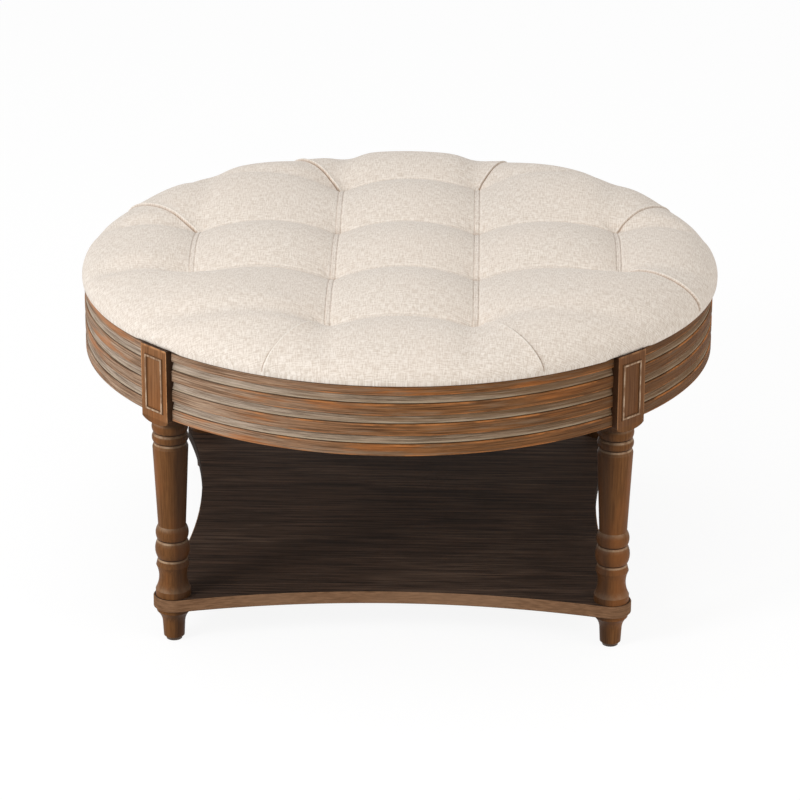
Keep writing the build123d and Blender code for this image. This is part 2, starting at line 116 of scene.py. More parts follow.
# %% Node arithmetic
def wire(value, socket):
    """Link an output socket, or write a plain value, into an input socket."""
    if isinstance(value, bpy.types.NodeSocket):
        socket.id_data.links.new(value, socket)
    else:
        socket.default_value = value


def add_node(tree, kind, inputs={}, **settings):
    """Outputs of a new node with these settings, and these values or sockets wired to its inputs."""
    made = tree.nodes.new("ShaderNode" + kind)
    for name, value in settings.items():
        setattr(made, name, value)
    for name, value in inputs.items():
        wire(value, made.inputs[name])
    return made.outputs


def sums(operation, *values):
    """One Math node on sockets or numbers."""
    tree = next(value.id_data for value in values if isinstance(value, bpy.types.NodeSocket))
    return add_node(tree, "Math", dict(enumerate(values)), operation=operation)[0]


def times(first, second):
    """Product of two sockets or numbers."""
    return sums("MULTIPLY", first, second)


def minus(first, second):
    """Difference of two sockets or numbers."""
    return sums("SUBTRACT", first, second)


def size_of(value):
    """A number without its sign."""
    return sums("ABSOLUTE", value)


def span(value, low, high, to_low=0.0, to_high=1.0):
    """Smooth step of a value from one range to another."""
    inputs = {"Value": value, "From Min": low, "From Max": high, "To Min": to_low, "To Max": to_high}
    return add_node(value.id_data, "MapRange", inputs, interpolation_type="SMOOTHSTEP")[0]


def split(vector):
    """The three numbers of a vector."""
    return add_node(vector.id_data, "SeparateXYZ", {0: vector})


def joined(x, y, z):
    """Three numbers as one vector."""
    return add_node(x.id_data, "CombineXYZ", {0: x, 1: y, 2: z})[0]


def noise(place, cells, detail, rough):
    """Noise with so many cells per metre along each axis."""
    stretched = add_node(place.id_data, "Mapping", {"Vector": place, "Scale": cells})[0]
    inputs = {"Vector": stretched, "Scale": 1.0, "Detail": detail, "Roughness": rough}
    return add_node(place.id_data, "TexNoise", inputs)["Fac"]


print("node arithmetic ready")


# %% Colours and materials
def colour(tint):
    """A colour socket as it is, or an opaque linear colour from the eight-bit values of a tint."""
    if isinstance(tint, bpy.types.NodeSocket):
        return tint
    shown = np.array(tint) / 255.0
    linear = np.where(shown <= 0.04045, shown / 12.92, ((shown + 0.055) / 1.055) ** 2.4)
    return (*linear.tolist(), 1.0)


def blended(share, first, second):
    """Two colours or tints mixed by a share."""
    inputs = {"Factor": share, "A": colour(first), "B": colour(second)}
    return add_node(share.id_data, "Mix", inputs, data_type="RGBA")["Result"]


def two_tone(pattern, low, high, dark, pale):
    """From a dark to a pale tint as a pattern rises from low to high."""
    return blended(span(pattern, low, high), dark, pale)


def coated(body, *coats):
    """A colour under coats, laid on in their order. Each coat is a share and a colour or tint."""
    for share, tint in coats:
        body = blended(share, body, tint)
    return body


def new_material(name):
    """A material with a plain surface, the point's own place in metres, and the normal there."""
    material = bpy.data.materials.new(name)
    material.use_nodes = True
    tree = material.node_tree
    tree.nodes.clear()
    surface = add_node(tree, "BsdfPrincipled", name="surface")[0]
    add_node(tree, "OutputMaterial", {"Surface": surface}, name="output")
    return material, add_node(tree, "TexCoord")["Object"], add_node(tree, "NewGeometry")["Normal"]


def complete(material, body, roughness, specular=0.5, height=None, distance=0.0, strength=1.0):
    """Give a material its colour, roughness and specular level, and bump if it has a height."""
    surface = material.node_tree.nodes["surface"].inputs
    wire(body, surface["Base Color"])
    wire(roughness, surface["Roughness"])
    wire(specular, surface["Specular IOR Level"])
    if height is not None:
        inputs = {"Height": height, "Distance": distance, "Strength": strength}
        wire(add_node(material.node_tree, "Bump", inputs)[0], surface["Normal"])
    return material


def dress(target, material):
    """Give a piece this one finish."""
    target.data.materials.clear()
    target.data.materials.append(material)


print("material helpers ready")

# %% [markdown]
# ## The quilted cover
# The real cover is linen over fibre wadding and foam. Twelve ties draw it down
# on a square grid, sewn channels run between them, and eight pleats take up the
# spare cloth from the outer ties to the rim. It could be sculpted, or blown up
# by a cloth simulation. Here the sheet's own equation is solved instead: a
# stretched sheet on springy foam, held at its seams, sinks by a depth whose
# curvature is the depth over a squared reach. That is quick, exact along the
# seams and the same on every run.

# %% Crown of the cover
crown_flat = 290 * mm
rim_radius = 456 * mm
rim_height = apron_top + 3.3 * mm
crown_power = 1.85


def crown_table():
    """Profile of the untufted top as arc length, radius, height and outward normal.

    It is level out to a radius, and then a quarter of an ellipse-like curve.
    """
    turn = np.linspace(0, np.pi / 2, 600)
    radius = crown_flat + (rim_radius - crown_flat) * np.sin(turn) ** (2 / crown_power)
    height = rim_height + (seat_height - rim_height) * np.cos(turn)
    radius = np.concatenate([np.linspace(0, crown_flat, 200)[:-1], radius])
    height = np.concatenate([np.full(199, seat_height), height])
    length = np.concatenate([[0], np.cumsum(np.hypot(np.diff(radius), np.diff(height)))])
    run, rise = np.gradient(radius, length), np.gradient(height, length)
    size = np.hypot(run, rise)
    return length, radius, height, -rise / size, run / size


crown_length, crown_radius, crown_height, crown_out, crown_up = crown_table()
sheet_radius = crown_length[-1]
print(f"flat radius of the cloth {sheet_radius / mm:.1f} mm")

# %% [markdown]
# Tufting is done by hand, so the real ties are off the square grid of holes in
# the board. Here the whole grid is spread, turned and shifted, which moves each
# tie by 7 to 18 millimetres, and the outer ties are pulled down by their own
# amounts.

# %% Plan of ties and seams
tuft_spread = np.array([1.026, 0.982])
row_turn, column_turn = np.radians([1.0, 0.15])
tuft_shift = np.array([10, -3]) * mm
turning = np.array([[np.cos(row_turn), np.sin(row_turn)], [-np.sin(column_turn), np.cos(column_turn)]])


def laid_out(grid):
    """Place on the cloth of a point of the square grid: spread, rows and columns turned, then shifted."""
    return (grid * tuft_spread) @ turning + tuft_shift


def on_grid(points):
    """The way back from a place on the cloth to the square grid."""
    return ((points - tuft_shift) @ np.linalg.inv(turning)) / tuft_spread


# Depth of the outer ties in millimetres. A tie's name is its place in half pitches
tie_depths = {
    (-1, 3): 44, (1, 3): 39, (3, 1): 36, (3, -1): 33, (1, -3): 42, (-1, -3): 43, (-3, -1): 43, (-3, 1): 41,
}
inner_tie_depth = 44
tie_names = [(x, y) for x in (-3, -1, 1, 3) for y in (-3, -1, 1, 3) if abs(x * y) < 9]
grid_ties = np.array(tie_names) * half_pitch
ties = laid_out(grid_ties)
tie_depth = np.array([tie_depths.get(name, inner_tie_depth) for name in tie_names]) * mm
seam_pairs = [
    (i, j) for i in range(len(ties)) for j in range(i + 1, len(ties))
    if abs(np.hypot(*(grid_ties[i] - grid_ties[j])) - 2 * half_pitch) < mm
]
print(len(ties), "ties,", len(seam_pairs), "seams")

# %% [markdown]
# Each pleat runs from an outer tie to the rim. The grid lines also run on
# beyond the outer ties, as soft gutters in the filling.

# %% Plan of pleats and gutters
# A pleat's values: the angle of its end from the X axis in degrees, the depth of its
# valley in millimetres, and how high the fold laps, where a minus laps it the other way
pleat_shapes = {
    (3, -1): (-22.0, 10, -1.4), (3, 1): (29.0, 13, 0.9), (1, 3): (69.0, 22, 1.0),
    (-1, 3): (113.6, 27, 1.7), (-3, 1): (154.0, 26, 1.4), (-3, -1): (199.5, 13, 0.1),
    (-1, -3): (248.0, 14, 2.0), (1, -3): (296.5, 14, 1.4),
}
# A gutter's tie, the way it runs, and its depth in millimetres
gutter_depths = {
    ((-1, 3), (0, 1)): 9, ((-1, 3), (-1, 0)): 10, ((1, 3), (0, 1)): 7, ((1, 3), (1, 0)): 7,
    ((-3, 1), (-1, 0)): 12, ((-3, 1), (0, 1)): 7, ((3, 1), (1, 0)): 11, ((3, 1), (0, 1)): 4,
    ((-3, -1), (-1, 0)): 11, ((3, -1), (1, 0)): 3, ((-1, -3), (0, -1)): 6, ((1, -3), (0, -1)): 6,
    ((-1, -3), (-1, 0)): 7, ((1, -3), (1, 0)): 5,
}


def on_rim(degrees):
    """Places on the rim of the flat cloth at angles from the X axis."""
    angle = np.radians(degrees)
    return sheet_radius * np.stack([np.cos(angle), np.sin(angle)], axis=-1)


def to_segment(points, segment):
    """Distance of points to a segment, the share of the way along it, and on which side of it they are."""
    start, end = segment
    along = end - start
    offset = points - start
    share = np.clip(offset @ along / (along @ along), 0, 1)
    away = points - (start + share[..., None] * along)
    side = np.sign(along[0] * offset[..., 1] - along[1] * offset[..., 0])
    return np.hypot(away[..., 0], away[..., 1]), share, side


pleats = {}
for name, (end, valley, lap) in pleat_shapes.items():
    number = tie_names.index(name)
    pleats[number] = ((ties[number], on_rim(end)), valley * mm, lap)
print(len(pleats), "pleats,", len(gutter_depths), "gutters")

# %% [markdown]
# The sheet is solved on the square grid of the ties. Seams fall on grid lines
# and are held at their sewn depth. Pleats are only pulled towards theirs, by
# springs that fade away from the pleat, so that slanted ones stay smooth. The
# five closed biscuits are packed harder than the open puffs out to the rim.

# %% What holds the sheet
seam_depth = 22 * mm
dimple_radius = 13 * mm
dimple_slope = 0.42
grid_step = 3 * mm
pleat_near = 9 * mm
pleat_spring = 7 * mm
pleat_fall = 0.12
pleat_run = 0.5


def pleat_depth(share, at_tie, valley):
    """Depth along a pleat: an exponential fall at the tie, and the half of a bell curve on to the rim."""
    return (at_tie - valley) * np.exp(-share / pleat_fall) + valley * np.exp(-((share / pleat_run) ** 2))


def held_depths(grid):
    """Depth on the seams and in the dimples, and which grid points they hold.

    A seam has its own depth in the middle and comes to the ties' by the square of the way to its ends.
    A dimple rises from its tie by a slope times the distance.
    """
    depth = np.zeros(grid.shape[:-1])
    held = np.zeros(grid.shape[:-1], bool)
    for i, j in seam_pairs:
        distance, share, _ = to_segment(grid, (grid_ties[i], grid_ties[j]))
        on_seam = distance < grid_step / 4
        ends = tie_depth[i] + share * (tie_depth[j] - tie_depth[i])
        depth = np.where(on_seam, seam_depth + (ends - seam_depth) * (2 * share - 1) ** 2, depth)
        held |= on_seam
    for tie, at_tie in zip(grid_ties, tie_depth):
        distance = np.hypot(*(grid - tie).transpose(2, 0, 1))
        funnel = at_tie - dimple_slope * distance
        in_dimple = (distance < dimple_radius) & ~(held & (depth > funnel))
        depth = np.where(in_dimple, funnel, depth)
        held |= in_dimple
    return depth, held


def pleat_springs(plan):
    """Stiffness of the springs beside the pleats, and the depth they pull to."""
    pull = np.zeros(plan.shape[:-1])
    goal = np.zeros(plan.shape[:-1])
    for number, (pleat, valley, _) in pleats.items():
        distance, share, _ = to_segment(plan, pleat)
        near = np.exp(-((distance / pleat_near) ** 2)) / pleat_spring**2
        goal = np.where(near > pull, pleat_depth(share, tie_depth[number], valley), goal)
        pull = np.maximum(pull, near)
    return pull, goal


print("deepest tie", tie_depth.max(), "m, seams", seam_depth, "m")

# %% Solve the sheet
biscuit_reach = 200 * mm
biscuit_push = 8.4
puff_reach = 85 * mm
puff_push = 3.4
puff_lean = np.array([1.2, 1.4])
puff_fade = 90 * mm
sweeps = 800
sweep_gain = 1.85


def relaxed(depth, held, stiff, load):
    """The free points brought, over many sweeps, to the mean of their neighbours and the load."""
    odd = (np.indices(depth.shape).sum(axis=0) % 2).astype(bool)
    for _ in range(sweeps):
        for half in (odd, ~odd):
            around = np.zeros_like(depth)
            around[1:-1, 1:-1] = depth[2:, 1:-1] + depth[:-2, 1:-1] + depth[1:-1, 2:] + depth[1:-1, :-2]
            over = depth + sweep_gain * ((around + load) / (4 + stiff) - depth)
            depth = np.where(half & ~held, over, depth)
    return depth


def solve_sheet():
    """Depth of the cloth below the crown on a square grid.

    Its curvature is depth / reach squared plus the springs' pull, less the push of the filling.
    """
    count = int(np.ceil((sheet_radius + np.hypot(*tuft_shift)) / tuft_spread.min() / grid_step)) + 1
    line = np.arange(-count, count + 1) * grid_step
    grid = np.stack(np.meshgrid(line, line, indexing="ij"), axis=-1)
    plan = laid_out(grid)
    length = np.hypot(plan[..., 0], plan[..., 1])
    depth, held = held_depths(grid)
    held |= length >= sheet_radius
    pull, goal = pleat_springs(plan)
    u, v = np.abs(grid[..., 0]) / half_pitch, np.abs(grid[..., 1]) / half_pitch
    closed = (np.minimum(u, v) < 1) & (np.maximum(u, v) < 3)
    to_rim = np.clip((sheet_radius - length) / puff_fade, 0, 1)
    push = np.where(closed, biscuit_push, (puff_push + plan @ puff_lean / sheet_radius) * to_rim)
    stiff = (1 / np.where(closed, biscuit_reach, puff_reach) ** 2 + pull) * grid_step**2
    load = (pull * goal - push) * grid_step**2
    return line, relaxed(depth, held, stiff, load)


def sampled(points):
    """Depth between grid points, weighted by the nearness of the four round it."""
    place = (on_grid(points) - grid_line[0]) / grid_step
    cell = np.clip(np.floor(place).astype(int), 0, len(grid_line) - 2)
    u, v = np.moveaxis(place - cell, -1, 0)
    i, j = cell[..., 0], cell[..., 1]
    return ((1 - u) * (1 - v) * sheet_depth[i, j] + u * (1 - v) * sheet_depth[i + 1, j]
            + (1 - u) * v * sheet_depth[i, j + 1] + u * v * sheet_depth[i + 1, j + 1])


grid_line, sheet_depth = solve_sheet()
middle = len(grid_line) // 2
print(f"depth at the centre {sheet_depth[middle, middle] / mm:.1f} mm, "
      f"highest {-sheet_depth.min() / mm:.1f} mm above the crown")

# %% [markdown]
# Sewn channels, pleats and ties are much finer than that grid. They are added
# as formulas of the distance to each line, and the mesh has its lines packed
# closely along them. Each form also leaves painted light, painted shade in a
# crease and a painted highlight on the edge beside it, which the linen's finish
# reads.

# %% Gutters and seams
gutter_half = 24 * mm
gutter_start = 32 * mm
gutter_fade = 65 * mm
channel_half = 3.7 * mm
strip_crown = 1.3 * mm
crease_depth = 1.1 * mm
crease_half = 0.8 * mm
seam_highlight_offset = 2.2 * mm
seam_highlight_half = 1.1 * mm


def smooth(share):
    """Share from 0 to 1 eased at both ends: three times its square less twice its cube."""
    share = np.clip(share, 0, 1)
    return share * share * (3 - 2 * share)


def hump(distance, half):
    """Bell curve of a distance: 1 in the middle, about a third at one half width."""
    return np.exp(-((distance / half) ** 2))


def gutters(points):
    """Depth of the gutters: a bell across each, full a little way from the tie and gone at the rim."""
    grid = on_grid(points)
    total = np.zeros(points.shape[:-1])
    for (tie, way), deep in gutter_depths.items():
        offset = grid - np.array(tie) * half_pitch
        along = offset @ np.array(way)
        aside = offset @ np.array([-way[1], way[0]])
        total += deep * mm * hump(aside, gutter_half) * np.clip(along / gutter_start, 0, 1)
    return total * smooth((sheet_radius - np.hypot(points[..., 0], points[..., 1])) / gutter_fade)


def seam_forms(points):
    """Extra depth of the seams, a welt between two creases, and painted shade in the creases with a painted
    highlight beside them.
    """
    distances = [to_segment(points, (ties[i], ties[j]))[0] for i, j in seam_pairs]
    distance = np.minimum.reduce(distances)
    crease = hump(distance - channel_half, crease_half)
    welt = strip_crown * np.clip(1 - (distance / channel_half) ** 2, 0, 1)
    seam_highlight = hump(distance - channel_half - seam_highlight_offset, seam_highlight_half)
    # Painted light: painted shade in the creases, less a painted highlight on the edge beside them
    return crease_depth * crease - welt, 0.4 * crease - 0.4 * seam_highlight


print("gutters and seams ready")

# %% Pleats and ties
lap_rise = 2.4 * mm
lap_reach = 11 * mm
lap_drop = 0.5 * mm
lap_groove = 2.2 * mm
lap_line = 1.0 * mm
groove_offset = 1.1 * mm
lap_highlight_offset = 0.9 * mm
lap_start = 0.05
lap_end = 0.02
tie_pit = 2.4 * mm
tie_pit_half = 6 * mm
tie_shade_half = 5 * mm
pucker_height = 0.28 * mm
pucker_reach = 16 * mm


def pleat_forms(points):
    """Extra depth of the pleats, where one side laps over a groove and falls away from it slowly, and painted
    shade in the groove with a painted highlight beside it.
    """
    extra = np.zeros(points.shape[:-1])
    painted_light = np.zeros(points.shape[:-1])
    for number, (pleat, _, lap) in pleats.items():
        distance, share, side = to_segment(points, pleat)
        signed = distance * side * np.sign(grid_ties[number][0] * grid_ties[number][1] * lap)
        fade = abs(lap) * np.clip(share / lap_start, 0, 1) * np.clip((1 - share) / lap_end, 0, 1)
        above = np.exp(-np.maximum(signed, 0) / lap_reach)
        below = np.exp(np.minimum(signed, 0) / lap_drop)
        groove = hump(signed + groove_offset, lap_line)
        extra += fade * (lap_groove * groove - lap_rise * np.where(signed > 0, above, below))
        # Painted light: painted shade in the groove, less a painted highlight just beside it
        painted_light += fade * (groove - 0.7 * hump(signed - lap_highlight_offset, lap_line))
    return extra, painted_light


def tie_forms(points):
    """Extra depth of the ties, a small pit and puckers of seven and eleven folds round it, and painted shade
    in the pit.
    """
    extra = np.zeros(points.shape[:-1])
    painted_light = np.zeros(points.shape[:-1])
    for number, tie in enumerate(ties):
        offset = points - tie
        distance = np.hypot(offset[..., 0], offset[..., 1])
        angle = np.arctan2(offset[..., 1], offset[..., 0])
        ripple = np.sin(7 * angle + 1.7 * number) + 0.6 * np.sin(11 * angle + 2.9 * number)
        swell = (distance / pucker_reach) * np.exp(1 - distance / pucker_reach)
        extra += tie_pit * hump(distance, tie_pit_half) + pucker_height * ripple * swell
        # Painted shade in the tie's pit
        painted_light += 0.6 * hump(distance, tie_shade_half)
    return extra, painted_light


def fine_forms(points):
    """Extra depth, and painted shade and highlight, of seams, pleats and ties together."""
    forms = [seam_forms(points), pleat_forms(points), tie_forms(points)]
    return sum(extra for extra, _ in forms), np.clip(sum(painted_light for _, painted_light in forms), -1, 1)


print("pleats and ties ready")


# %% Mesh lines of the cover
first_step = 0.75 * mm
step_growth = 1.09
biscuit_step = 4.2 * mm
puff_step = 3.6 * mm
puff_length = 215 * mm
merge_step = 0.001 * mm


def graded(length, widest):
    """Shares from 0 to 1 whose steps start small and grow to a widest step."""
    steps = [first_step]
    while sum(steps) < length:
        steps.append(min(steps[-1] * step_growth, widest))
    share = np.concatenate([[0], np.cumsum(steps)])
    return share / share[-1]


half_lines = graded(half_pitch, biscuit_step)
across = np.concatenate([half_lines / 2, 1 - half_lines[-2::-1] / 2])
outward = graded(puff_length, puff_step)
print(len(across), "lines across a biscuit,", len(outward), "out to the rim")


# %% Flat plan of the cover
def ruled(first, last, angle_first, angle_last, thin):
    """Outer puff: straight lines from a seam to the rim, spaced evenly in share along both."""
    a, b = across[::thin], outward[::thin]
    inner = first + a[:, None] * (last - first)
    outer = on_rim(angle_first + a * (angle_last - angle_first))
    return inner[:, None] + b[None, :, None] * (outer - inner)[:, None]


def biscuit(centre, thin):
    """Closed biscuit: a square of the tie grid, with lines packed towards all four seams."""
    line = (2 * across[::thin] - 1) * half_pitch
    return laid_out(centre + np.stack(np.meshgrid(line, line, indexing="ij"), axis=-1))


def cover_patches(thin):
    """The five biscuits, and the puffs between each two pleats; a corner puff has two halves."""
    centres = 2 * half_pitch * np.array([(0, 0), (1, 0), (0, 1), (-1, 0), (0, -1)])
    patches = [biscuit(centre, thin) for centre in centres]
    ends = [(name, shape[0]) for name, shape in pleat_shapes.items()]
    for (tie_a, end_a), (tie_b, end_b) in zip(ends, ends[1:] + ends[:1]):
        a, b = laid_out(np.array(tie_a) * half_pitch), laid_out(np.array(tie_b) * half_pitch)
        turn_by = (end_b - end_a) % 360
        if tie_a[0] == tie_b[0] or tie_a[1] == tie_b[1]:
            patches.append(ruled(a, b, end_a, end_a + turn_by, thin))
        else:
            corner = laid_out(np.sign(np.add(tie_a, tie_b)) * half_pitch)
            between = end_a + turn_by / 2
            patches.append(ruled(a, corner, end_a, between, thin))
            patches.append(ruled(corner, b, between, end_a + turn_by, thin))
    return patches


def cover_plan(thin=1):
    """The cover's flat plan as points and faces: shared edges merged, and every face turned the same way."""
    points, faces, total = [], [], 0
    for patch in cover_patches(thin):
        rows, columns = patch.shape[:2]
        index = total + np.arange(rows * columns).reshape(rows, columns)
        corners = [index[:-1, :-1], index[1:, :-1], index[1:, 1:], index[:-1, 1:]]
        faces.append(np.stack(corners, axis=-1).reshape(-1, 4))
        points.append(patch.reshape(-1, 2))
        total += rows * columns
    points, faces = np.concatenate(points), np.concatenate(faces)
    steps = np.round(points / merge_step).astype(int)
    _, first, back = np.unique(steps, axis=0, return_index=True, return_inverse=True)
    points, faces = points[first], back.reshape(-1)[faces]
    a, b, c = (points[faces[:, k]] for k in range(3))
    area = (b - a)[:, 0] * (c - b)[:, 1] - (b - a)[:, 1] * (c - b)[:, 0]
    faces[area < 0] = faces[area < 0][:, ::-1]
    return points, faces


def rim_order(points):
    """Indices of the points on the rim, by angle."""
    outermost = np.nonzero(np.hypot(points[:, 0], points[:, 1]) > sheet_radius - merge_step)[0]
    return outermost[np.argsort(np.arctan2(points[outermost, 1], points[outermost, 0]))]


print("flat plan laid out in", len(cover_patches(thin=1)), "patches")

# %% [markdown]
# The upper face carries the depth along the crown's own normal. Its edge turns
# under, meets the apron, climbs the edge of the seat board, and goes on as the
# underside, which leaves room for the board and the foam. At each tie the
# underside reaches down through the foam to the board.

# %% Faces of the cover
board_radius = 448 * mm
board_top = apron_top + 12 * mm
foam_radius = 420 * mm
foam_top = board_top + 14 * mm
foam_punch = 30 * mm
left_draw = 0.007
rim_calm = 4 * mm
steady_radius = 345 * mm
step_width = 4 * mm
land_width = 3.4 * mm
foam_margin = 4.4 * mm


def ways(points):
    """Distance of plan points from the centre, and their directions."""
    length = np.hypot(points[:, 0], points[:, 1])
    return length, points / np.maximum(length, 1e-9)[:, None]


def drawn_in(way):
    """Share of the full radius in a direction: the cloth is pulled a little tighter towards the left."""
    return 1 - left_draw * (1 - way[:, 0]) / 2


def upper_surface(points):
    """Crown place of each plan point, moved inwards along the normal by its depth."""
    length, way = ways(points)
    extra, painted_light = fine_forms(points)
    depth = sampled(points) + gutters(points) + extra * np.clip((sheet_radius - length) / rim_calm, 0, 1)
    columns = (crown_radius, crown_height, crown_out, crown_up)
    radius, height, out, up = (np.interp(length, crown_length, column) for column in columns)
    flat = way * ((radius - depth * out) * drawn_in(way))[:, None]
    return np.column_stack([flat, height - depth * up]), painted_light


def under_surface(points):
    """Underside: flat on board and foam, with a land at each tie that reaches the board."""
    length, way = ways(points)
    squeeze = (board_radius + soft_gap - steady_radius) / (sheet_radius - steady_radius)
    radius = np.where(length > steady_radius, steady_radius + (length - steady_radius) * squeeze, length)
    flat = way * radius[:, None]
    to_tie = np.min(np.hypot(*(flat[:, None] - ties[None]).transpose(2, 0, 1)), axis=1)
    land = np.clip((to_tie - (foam_punch - step_width)) / land_width, 0, 1)
    over_foam = np.clip((foam_radius + foam_margin - radius) / step_width, 0, 1)
    height = board_top + soft_gap + (foam_top - board_top) * np.minimum(land, over_foam)
    return np.column_stack([flat, height])


print(f"board up to {board_top / mm:.0f} mm, foam up to {foam_top / mm:.0f} mm")

# %% Roll of the cover
cover_foot = apron_top + 0.3 * mm
roll_hang = 2.8 * mm
board_climb = 6 * mm
leg_azimuths = np.radians([-135, -45, 45, 135])
leg_clearance = 32 * mm
leg_fade = 16 * mm
# Profile of the roll from the rim inwards: radius in millimetres, share of the hang, least radius
roll_profile = np.array([
    (455.7, 0.35, 450.8), (454.9, 0.75, 450.8), (453.8, 0.95, 450.8), (452.4, 1.0, 450.8),
    (451.2, 0.8, 450.8), (450.8, 0.0, 450.8), (448.3, 0.0, 448.3), (448.3, -board_climb / roll_hang, 448.3),
]) * [mm, 1, mm]


def roll_foot(angle):
    """Fall of the cover's lower edge, as a minus: it hangs over the apron but rides over the leg blocks."""
    turned = np.abs((angle[:, None] - leg_azimuths + np.pi) % (2 * np.pi) - np.pi).min(axis=1)
    return -roll_hang * smooth((turned * rim_radius - leg_clearance) / leg_fade)


def roll_rings(angle):
    """Rings of points from the rim down round the roll and up to the board, one after the other."""
    way = np.column_stack([np.cos(angle), np.sin(angle)])
    low = roll_foot(angle)
    rings = []
    for radius, share, least in roll_profile:
        ring_radius = np.maximum(radius * drawn_in(way), least)
        rings.append(np.column_stack([way * ring_radius[:, None], cover_foot + share * low]))
    return np.concatenate(rings)


print(f"roll hangs {roll_hang / mm:.1f} mm over the apron")


# %% Build the cover
def cover_mesh():
    """Vertices, quads, triangles, flat plan and painted shade and highlight of the whole closed cover.

    The underside has half as many lines, so three triangles join two steps of the roll to one of its own.
    """
    points, faces = cover_plan()
    low_points, low_faces = cover_plan(thin=2)
    upper, painted_light = upper_surface(points)
    rim, low_rim = rim_order(points), rim_order(low_points)
    rings = roll_rings(np.arctan2(points[rim, 1], points[rim, 0]))
    vertices = np.concatenate([upper, rings, under_surface(low_points)])
    ring_index = np.concatenate([rim, len(upper) + np.arange(len(rings))]).reshape(-1, len(rim))
    following = np.roll(ring_index, -1, axis=1)
    corners = [ring_index[:-1], ring_index[1:], following[1:], following[:-1]]
    sides = np.stack(corners, axis=-1).reshape(-1, 4)
    under_base = len(upper) + len(rings)
    start = np.argmin(np.hypot(*(points[rim] - low_points[low_rim[0]]).T))
    last = np.roll(ring_index[-1], -start)
    even, odd, after = last[0::2], last[1::2], np.roll(last, -1)[1::2]
    inner = under_base + low_rim
    inner_after = np.roll(inner, -1)
    quads = np.concatenate([faces, sides, under_base + low_faces[:, ::-1]])
    triangles = np.concatenate([np.column_stack(three) for three in (
        (even, inner, odd), (odd, inner, inner_after), (odd, inner_after, after))])
    plan = np.concatenate([points, np.tile(points[rim], (len(roll_profile), 1)), low_points])
    return vertices, quads, triangles, plan, np.concatenate([painted_light, np.zeros(len(vertices) - len(painted_light))])


def surface_object(name, vertices, quads, triangles=np.zeros((0, 3), int), plan=None, painted_light=None):
    """A smooth mesh object from arrays, with its flat plan in metres as UV map and painted shade and
    highlight at each point.
    """
    mesh = bpy.data.meshes.new(name)
    corners = np.concatenate([quads.reshape(-1), triangles.reshape(-1)]).astype(np.int32)
    starts = np.concatenate([np.arange(len(quads)) * 4, len(quads) * 4 + np.arange(len(triangles)) * 3])
    mesh.vertices.add(len(vertices))
    mesh.vertices.foreach_set("co", np.ascontiguousarray(vertices, np.float32).reshape(-1))
    mesh.loops.add(len(corners))
    mesh.loops.foreach_set("vertex_index", corners)
    mesh.polygons.add(len(starts))
    mesh.polygons.foreach_set("loop_start", starts.astype(np.int32))
    mesh.update(calc_edges=True)
    mesh.validate()
    mesh.polygons.foreach_set("use_smooth", np.ones(len(mesh.polygons), bool))
    if plan is not None:
        layer = mesh.uv_layers.new(name="cloth")
        layer.data.foreach_set("uv", np.ascontiguousarray(plan[corners], np.float32).reshape(-1))
    if painted_light is not None:
        marks = mesh.attributes.new("painted_light", "FLOAT", "POINT")
        marks.data.foreach_set("value", painted_light.astype(np.float32))
    return new_object(name, mesh)


cover = surface_object("linen_cover", *cover_mesh())
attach(cover, "root")
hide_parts("quilted_cover")
print("cover:", len(cover.data.vertices), "points,", len(cover.data.polygons), "faces")

# %% [markdown]
# ## Foam, ties and dust cloth
# These show from below or when the seat is opened. The foam is a disc punched
# at every tie. Each tie is a two-ply flax twine that runs from a dimple of the
# cover, through its hole in the board, to a round toggle. Black cloth is
# stretched under the board to keep dust out and covers the toggles.

# %% Foam pad
foam_edge = 1.5 * mm


def circle_points(centre, radius, count):
    """Points of a circle on the level."""
    angle = 2 * np.pi * np.arange(count) / count
    return centre + radius * np.column_stack([np.cos(angle), np.sin(angle)])


def punched_disc(name, low, high, rim, holes):
    """A level disc with round holes and softened edges: an outline filled and thickened, then made a mesh."""
    outline = bpy.data.curves.new(name, "CURVE")
    outline.dimensions = "2D"
    outline.fill_mode = "BOTH"
    outline.extrude = (high - low) / 2 - foam_edge
    outline.bevel_depth = foam_edge
    outline.bevel_resolution = 2
    outline.offset = -foam_edge
    for ring in [rim] + holes:
        spline = outline.splines.new("POLY")
        spline.points.add(len(ring) - 1)
        padded_ring = np.column_stack([ring, np.zeros(len(ring)), np.ones(len(ring))])
        spline.points.foreach_set("co", padded_ring.reshape(-1))
        spline.use_cyclic_u = True
    drawn = bpy.data.objects.new(name + "_outline", outline)
    mesh = bpy.data.meshes.new_from_object(drawn)
    mesh.name = name
    places = np.empty(3 * len(mesh.vertices), np.float32)
    mesh.vertices.foreach_get("co", places)
    places[2::3] += (low + high) / 2
    mesh.vertices.foreach_set("co", places)
    bpy.data.objects.remove(drawn)
    return new_object(name, mesh)


punches = [circle_points(tie, foam_punch, 48) for tie in ties]
foam = punched_disc("seat_foam", board_top, foam_top, circle_points(np.zeros(2), foam_radius, 240), punches)
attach(foam, "root")
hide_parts("foam_pad")
print("foam:", len(foam.data.vertices), "points")

# %% Ties
twine_radius = 1.22 * mm
ply_swell = 0.2
ply_pitch = 7 * mm
twine_end = 4 * mm
toggle_radius = 8 * mm
toggle_thickness = 2.2 * mm
toggle_round = 0.7 * mm


def lofted(rings, start, end):
    """Vertices, quads and end triangles of a closed skin over rings, from a start to an end point."""
    count, sides = rings.shape[:2]
    index = np.arange(count * sides).reshape(count, sides)
    after = np.roll(index, -1, axis=1)
    quads = np.stack([index[:-1], after[:-1], after[1:], index[1:]], axis=-1).reshape(-1, 4)
    first, last = np.full(sides, count * sides), np.full(sides, count * sides + 1)
    caps = np.concatenate([
        np.column_stack([first, after[0], index[0]]),
        np.column_stack([last, index[-1], after[-1]]),
    ])
    return np.concatenate([rings.reshape(-1, 3), [start], [end]]), quads, caps


